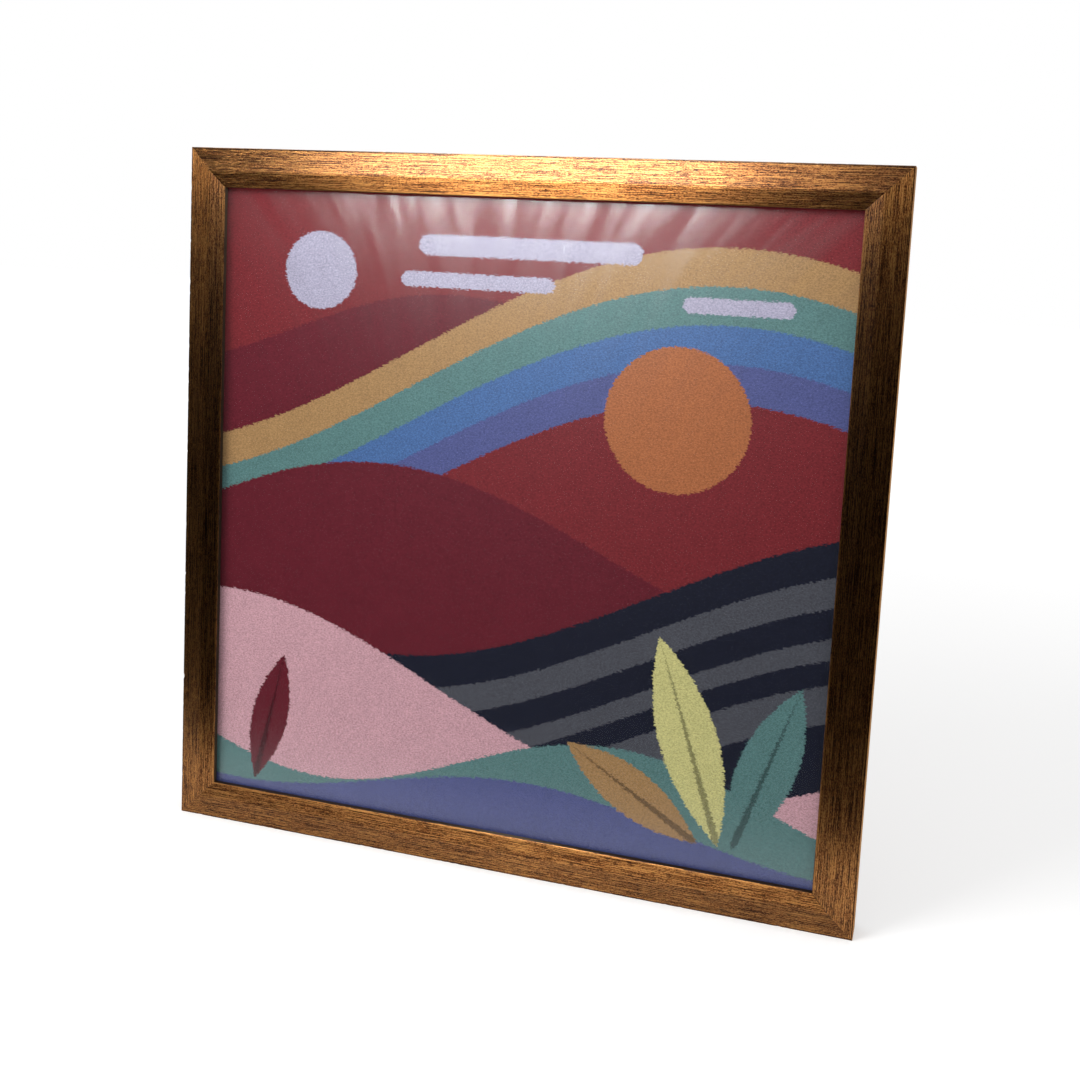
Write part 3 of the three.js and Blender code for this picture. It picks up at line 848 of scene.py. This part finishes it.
def button_points(settings, radius, reach, front, thickness, hole):
    """A turn button with its pivot at X and Z zero, pointing up: rings between the hole and the outline of a
    strip with round ends. The outline is seen in full from the hole, so each ring is a mix of the two. The
    sheet is lifted along a rib and bent up at the finger tip."""
    outline = rounded_path(oblong(radius, -radius, reach, radius, radius), 0.35 * MM, 22)
    away = unit(outline)
    edge, flat_rings = settings.sheet_edge, 44
    turn = np.linspace(-math.pi / 2, math.pi / 2, 7)
    mixes = np.linspace(0, 1, flat_rings)
    spread = np.concatenate([mixes, np.ones(7), mixes[::-1]])[:, None, None]
    inset = np.concatenate([edge * mixes, edge * (1 - np.cos(turn)), edge * mixes[::-1]])[:, None, None]
    lift = np.concatenate([
        np.zeros(flat_rings), thickness / 2 + (thickness / 2 - edge) * np.sign(turn) + edge * np.sin(turn),
        np.full(flat_rings, thickness),
    ])[:, None]
    plan = away * hole * (1 - spread) + outline * spread - away * inset
    x, z = plan[..., 0], plan[..., 1]
    tip_start = reach - settings.tip_length
    rib_low, rib_high, rib_half_width = 4.3 * MM, tip_start - 1.8 * MM, 1.05 * MM
    gap = np.hypot(x, z - np.clip(z, rib_low, rib_high)) / rib_half_width
    rib = settings.rib_height * np.clip(1 - gap ** 2, 0, 1) ** 1.3
    beyond, bend = z - tip_start, 0.5 * MM
    tip = settings.tip_rise * (np.hypot(beyond, bend) + beyond)
    tip /= math.hypot(settings.tip_length, bend) + settings.tip_length
    return joined(x, front + lift + rib + tip, z)


def cross_recess(x, z, angle, reach, width, depth):
    """Depth of a cross slot in a screw's head: the deeper of two bars with sloping walls and ends."""
    wall_slope, end_slope = 0.12 * MM, 0.55 * MM
    across = x * math.cos(angle) + z * math.sin(angle)
    along = z * math.cos(angle) - x * math.sin(angle)

    def bar(long, short):
        wall = np.clip((width / 2 + wall_slope / 2 - np.abs(short)) / wall_slope, 0, 1)
        end = np.clip((reach / 2 - np.abs(long)) / end_slope, 0, 1)
        return wall * end ** 0.6

    return depth * np.maximum(bar(along, across), bar(across, along))


def dome_profile(rim_radius, rim_y, height, steps):
    """Points (radius, y) of a dome from its rim to its top: an arc of a sphere."""
    sphere = (rim_radius ** 2 + height ** 2) / (2 * height)
    rim_angle = math.asin(min(1, rim_radius / sphere))
    angles = rim_angle * (1 - np.linspace(0, 1, steps))
    return np.stack([sphere * np.sin(angles), rim_y + sphere * (np.cos(angles) - math.cos(rim_angle))], 1)


def screw_points(centre, low, high, angle):
    """A screw on a line along Y: a point, a shank with a thread's rings, and a domed head with a cross slot.
    The profile of the thread is a row of small cones."""
    shank, pitch, half_turns = 1.1 * MM, 0.9 * MM, np.arange(12)
    root, neck = shank * 0.78, shank * 0.9
    head_radius, head_height, rim, bevel, dome_steps = 2.5 * MM, 1.3 * MM, 0.35 * MM, 0.1 * MM, 46
    slot_reach, slot_width, slot_depth = 2.9 * MM, 0.65 * MM, 0.75 * MM
    under, start = high - head_height, low + 2 * MM
    thread = np.stack([np.where(half_turns % 2, shank, root), start + half_turns / 2 * pitch], 1)
    profile = np.concatenate([
        [(0, low), (root, start - 0.1 * MM)], thread,
        [(neck, under), (head_radius - 0.12 * MM, under), (head_radius, under + bevel)],
        dome_profile(head_radius, under + rim, head_height - rim, dome_steps),
    ])
    points = turned(profile, (0, 0), 96)
    dome = points[:, -dome_steps:]
    dome[..., 1] -= cross_recess(dome[..., 0], dome[..., 2], angle, slot_reach, slot_width, slot_depth)
    return points + (centre[0], 0, centre[1])


class RECORD_FRAME_OT_turn_buttons(Operator):
    """Builds the eight pressed turn buttons and their cross-slotted screws"""

    bl_idname = "record_frame.turn_buttons"
    bl_label = "Turn buttons"

    def execute(self, context):
        settings = context.scene.record_frame_hardware
        material = brass_material(settings)
        random = np.random.default_rng(5)
        pivots = {joint["child"]: joint["pos_m"] for joint in frame["joints"]}
        hole = 1.25 * MM
        for node in sorted(name for name in pivots if name.startswith("turn_button_")):
            place = node.removeprefix("turn_button_")
            pivot_x, _, pivot_z = pivots[node]
            low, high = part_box(node)
            width, long_side = sorted((high.x - low.x, high.z - low.z))
            points = button_points(
                settings, width / 2, long_side - width / 2, low.y, high.y - low.y - settings.tip_rise, hole
            )
            points = side_turned(points, place.split("_")[0], 0) + (pivot_x, 0, pivot_z)
            button = new_piece(f"pressed_button_{place}", points, material, wrap_rows=True, sharp=50)
            mount_piece(button, node, "brassed_steel", node)
            screw_node = f"button_screw_{place}"
            low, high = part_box(screw_node)
            points = screw_points((pivot_x, pivot_z), low.y, high.y, random.uniform(0, math.pi / 2))
            screw = new_piece(
                f"cross_screw_{place}", points, material, wrap_rows=True, wrap_columns=False, sharp=35
            )
            mount_piece(screw, "frame", "brassed_steel", screw_node)
        return {"FINISHED"}


def strap_path(settings, front, axis_y, axis_z, low_z):
    """The middle line of the strap's sheet, as points (y, z): up the layer on the board, round the ring's
    wire, back down through a small reverse bend and down the outer layer."""
    sheet, bend = settings.strap_sheet, 0.9 * MM
    inner_y, outer_y = front + sheet / 2, front + sheet * 3 / 2
    radius, bend_y = axis_y - inner_y, outer_y + bend
    drop = math.sqrt((radius + bend) ** 2 - (bend_y - axis_y) ** 2)
    meet = math.atan2(-drop, bend_y - axis_y)
    up = np.linspace(low_z, axis_z, 30)[:-1]
    down = np.linspace(axis_z - drop, low_z, 24)[1:]
    return np.concatenate([
        np.stack([np.full(len(up), inner_y), up], 1),
        arc((axis_y, axis_z), radius, np.linspace(math.pi, meet, 56)),
        arc((bend_y, axis_z - drop), bend, np.linspace(meet + math.pi, math.pi, 14))[1:],
        np.stack([np.full(len(down), outer_y), down], 1),
    ])


def strap_points(settings, front, axis_y, axis_z, low_z, width):
    """The folded strap: a flat oblong section with round edges, carried along the sheet's middle line, and
    narrowed at both ends to round off their corners."""
    path = strap_path(settings, front, axis_y, axis_z, low_z)
    ahead = unit(np.gradient(path, axis=0))
    half_thin = settings.strap_sheet / 2 - 0.01 * MM
    edge, corner = settings.sheet_edge, 1.6 * MM
    section = rounded_path(oblong(width / 2, -half_thin, half_thin, edge, edge), 0.5 * MM, 4)
    from_end = np.minimum(path[:, 1] - low_z, corner)
    taper = corner - np.sqrt(corner ** 2 - (corner - from_end) ** 2)
    across, off = section.T
    return joined(
        across * (1 - taper / (width / 2))[:, None], path[:, :1] - ahead[:, 1:] * off,
        path[:, 1:] + ahead[:, :1] * off,
    )


def ring_points(settings, axis_y, axis_z, low_z, half_width):
    """The ring: a round wire carried along a closed path of X and Z, straight on its axis and a half circle
    below."""
    wire = settings.wire / 2
    path = rounded_path(oblong(half_width, low_z, axis_z, half_width, 1.8 * MM), 0.4 * MM, 40)
    path = path[np.linalg.norm(np.roll(path, -1, 0) - path, axis=1) > 1e-7]
    ahead = unit(np.roll(path, -1, 0) - np.roll(path, 1, 0))
    angles = np.linspace(0, 2 * math.pi, 22, endpoint=False)
    out = wire * np.cos(angles)
    y = axis_y + wire * np.sin(angles)
    return joined(path[:, :1] + ahead[:, 1:] * out, y, path[:, 1:] - ahead[:, :1] * out)


class RECORD_FRAME_OT_hanger(Operator):
    """Builds the folded strap, its rivet and the hanging ring"""

    bl_idname = "record_frame.hanger"
    bl_label = "Hanger"

    def execute(self, context):
        settings = context.scene.record_frame_hardware
        material = zinc_material(settings)
        _, axis_y, axis_z = next(
            joint["pos_m"] for joint in frame["joints"] if joint["child"] == "hanging_ring"
        )
        low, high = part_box("hanger_strap")
        points = strap_points(settings, low.y, axis_y, axis_z, low.z, high.x - low.x)
        strap = new_piece("folded_strap", points, material, caps=True, sharp=50)
        mount_piece(strap, "frame", "zinc_steel", "hanger_strap")

        low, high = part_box("hanger_rivet")
        head, flange, shank, bevel = (high.z - low.z) / 2, 2.4 * MM, 1.4 * MM, 0.1 * MM
        rim, dome_height, dish_depth, dish_radius = 0.15 * MM, 0.65 * MM, 0.22 * MM, 0.75 * MM
        under = high.y - rim - dome_height
        dome = dome_profile(head, under + rim, dome_height, 30)
        dome[:, 1] -= dish_depth * np.clip(1 - (dome[:, 0] / dish_radius) ** 2, 0, 1)
        profile = np.concatenate([
            [(0, low.y), (flange - bevel, low.y), (flange, low.y + bevel), (flange, low.y + 0.35 * MM),
             (shank, low.y + 0.4 * MM), (shank, under), (head - bevel, under)],
            dome,
        ])
        points = turned(profile, (0, (low.z + high.z) / 2), 64)
        rivet = new_piece("domed_rivet", points, material, wrap_rows=True, wrap_columns=False, sharp=45)
        mount_piece(rivet, "frame", "zinc_steel", "hanger_rivet")

        low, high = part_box("hanging_ring")
        wire = settings.wire / 2
        points = ring_points(settings, axis_y, axis_z, low.z + wire, high.x - wire)
        ring = new_piece("wire_ring", points, material, wrap_rows=True)
        mount_piece(ring, "hanging_ring", "zinc_steel", "hanging_ring")
        return {"FINISHED"}


class RECORD_FRAME_OT_bumpers(Operator):
    """Builds the two rubber bumpers on the lower corners"""

    bl_idname = "record_frame.bumpers"
    bl_label = "Bumpers"

    def execute(self, context):
        material = rubber_material(context.scene.record_frame_hardware)
        bevel, step, fillet = 0.1 * MM, 0.06 * MM, 0.4 * MM
        for node in ("bumper_left", "bumper_right"):
            low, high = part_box(node)
            radius = (high.x - low.x) / 2
            flat = radius - 0.8 * MM - fillet
            profile = np.concatenate([
                [(0, low.y), (radius - bevel, low.y), (radius, low.y + bevel), (radius, low.y + 1.4 * MM),
                 (radius - step, low.y + 1.6 * MM)],
                arc((flat, high.y - fillet), fillet, np.linspace(0, math.pi / 2, 7)),
                np.stack([np.linspace(flat, 0, 8), np.full(8, high.y)], 1)[1:],
            ])
            points = turned(profile, ((low.x + high.x) / 2, (low.z + high.z) / 2), 56)
            bumper = new_piece(
                f"rubber_{node}", points, material, wrap_rows=True, wrap_columns=False, sharp=60
            )
            mount_piece(bumper, "frame", "rubber", node)
        return {"FINISHED"}


# The stage


def plane(name, corners, material):
    """A flat stage piece through four corners."""
    mesh = bpy.data.meshes.new(name)
    mesh.from_pydata(corners, [], [(0, 1, 2, 3)])
    mesh.materials.append(material)
    piece = bpy.data.objects.new(name, mesh)
    bpy.context.scene.collection.objects.link(piece)
    return piece


def hide_from(piece, *rays):
    """Hides a stage piece from kinds of rays."""
    for ray in rays:
        setattr(piece, f"visible_{ray}", False)


def soft_light(name, place, aim, size, watts, *hidden):
    """A soft oblong light at a place, turned to face another and hidden from some kinds of rays."""
    light = bpy.data.lights.new(name, "AREA")
    light.shape = "RECTANGLE"
    light.size, light.size_y = size
    light.energy = watts
    lamp = bpy.data.objects.new(name, light)
    lamp.location = place
    lamp.rotation_euler = (Vector(aim) - Vector(place)).to_track_quat("-Z", "Y").to_euler()
    bpy.context.scene.collection.objects.link(lamp)
    hide_from(lamp, *hidden)


def seen_directly(graph):
    """1 where a surface is seen itself, in metal or through glass, and 0 where it only gives light."""
    rays = graph.node("ShaderNodeLightPath").socket.node.outputs
    seen = Signal(graph, rays["Is Camera Ray"]).at_least(Signal(graph, rays["Is Glossy Ray"]))
    return seen.at_least(Signal(graph, rays["Is Transmission Ray"]))


def floor_material(settings):
    """A pale floor that looks white to the camera where nothing shades it."""
    graph = new_graph("pale floor")
    seen = seen_directly(graph)
    distance = graph.vector("LENGTH", graph.place(), output=1)
    lift = graph.rise(distance, 0.3, 1.6) * 0.2 + 0.42
    diffuse = graph.node("ShaderNodeBsdfDiffuse", None, {"Color": tuple(settings.floor)})
    glow = graph.node("ShaderNodeEmission", None, {"Color": (1, 1, 1), "Strength": seen * lift})
    return graph.show(graph.node("ShaderNodeAddShader", None, {0: diffuse, 1: glow}))


class RECORD_FRAME_OT_stage(Operator):
    """Sets the floor, the soft lights and the camera"""

    bl_idname = "record_frame.stage"
    bl_label = "Stage"

    def execute(self, context):
        scene = context.scene
        settings = scene.record_frame_stage
        plane("floor", [(-6, -6, 0), (6, -6, 0), (6, 6, 0), (-6, 6, 0)], floor_material(settings))

        # Dark cards in front and at the right, which only reflections see, as a studio hangs them to give
        # metal its depth
        graph = new_graph("dark card")
        card_material = graph.show(graph.node("ShaderNodeBsdfDiffuse", None, {"Color": (0.01, 0.009, 0.008)}))
        front, near, over = -1.7, -0.085, 0.001
        for name, corners in {
            "dark_card_standing": [(-3, front, 0), (5, front, 0), (5, front, 5), (-3, front, 5)],
            "dark_card_side": [(1, front, 0), (1, -0.1, 0), (1, -0.1, 3), (1, front, 3)],
            "dark_card_lying": [(-5, front, over), (5, front, over), (5, near, over), (-5, near, over)],
        }.items():
            hide_from(plane(name, corners, card_material), "camera", "diffuse", "shadow", "transmission")

        scene.world = bpy.data.worlds.new("studio")
        graph = Graph(scene.world)
        strength = seen_directly(graph) * (1 - settings.daylight) + settings.daylight
        sky = graph.node("ShaderNodeBackground", None, {"Color": (1, 1, 1), "Strength": strength})
        graph.node("ShaderNodeOutputWorld", None, {"Surface": sky})

        soft_light("key", (-0.65, -0.75, 0.5), (-0.03, 0, 0.15), (0.6, 0.8), settings.key_power, "glossy")
        soft_light("top", (0.01, -0.17, 0.42), (0.01, 0, 0.28), (0.12, 0.08), settings.top_power, "glossy")
        soft_light(
            "sheen", (-0.075, -0.24, 0.63), (-0.075, 0, 0.63), (0.24, 0.54), settings.sheen_power,
            "diffuse", "camera",
        )

        camera = bpy.data.cameras.new("camera")
        camera.sensor_width = 36
        camera.lens = settings.lens
        camera.shift_x, camera.shift_y = settings.shift
        camera.clip_start, camera.clip_end = 0.01, 50
        eye = bpy.data.objects.new("camera", camera)
        eye.location = settings.place
        eye.rotation_euler = Euler(settings.turn, "XYZ")
        scene.collection.objects.link(eye)
        scene.camera = eye
        scene.view_settings.view_transform = "Standard"
        return {"FINISHED"}


OPERATORS = (
    RECORD_FRAME_OT_mouldings,
    RECORD_FRAME_OT_sheets,
    RECORD_FRAME_OT_backing_board,
    RECORD_FRAME_OT_turn_buttons,
    RECORD_FRAME_OT_hanger,
    RECORD_FRAME_OT_bumpers,
    RECORD_FRAME_OT_stage,
)


class RECORD_FRAME_PT_panel(Panel):
    """Lists the pieces of the frame and their settings"""

    bl_idname = "RECORD_FRAME_PT_panel"
    bl_label = "Record Frame"
    bl_space_type = "VIEW_3D"
    bl_region_type = "UI"
    bl_category = "Record Frame"

    def draw(self, context):
        for operator in OPERATORS:
            self.layout.operator(operator.bl_idname)
        for name, group in GROUPS.items():
            box = self.layout.box()
            box.label(text=group.__doc__)
            for setting in group.__annotations__:
                box.prop(getattr(context.scene, name), setting)


GROUPS = {
    "record_frame_moulding": MouldingSettings,
    "record_frame_sheets": SheetSettings,
    "record_frame_hardware": HardwareSettings,
    "record_frame_stage": StageSettings,
}


def register():
    for name, group in GROUPS.items():
        bpy.utils.register_class(group)
        setattr(bpy.types.Scene, name, PointerProperty(type=group))
    for operator in OPERATORS:
        bpy.utils.register_class(operator)
    bpy.utils.register_class(RECORD_FRAME_PT_panel)


def unregister():
    bpy.utils.unregister_class(RECORD_FRAME_PT_panel)
    for operator in reversed(OPERATORS):
        bpy.utils.unregister_class(operator)
    for name, group in GROUPS.items():
        delattr(bpy.types.Scene, name)
        bpy.utils.unregister_class(group)


def main():
    register()
    for operator in OPERATORS:
        getattr(bpy.ops.record_frame, operator.bl_idname.split(".")[1])()


if __name__ == "__main__":
    main()
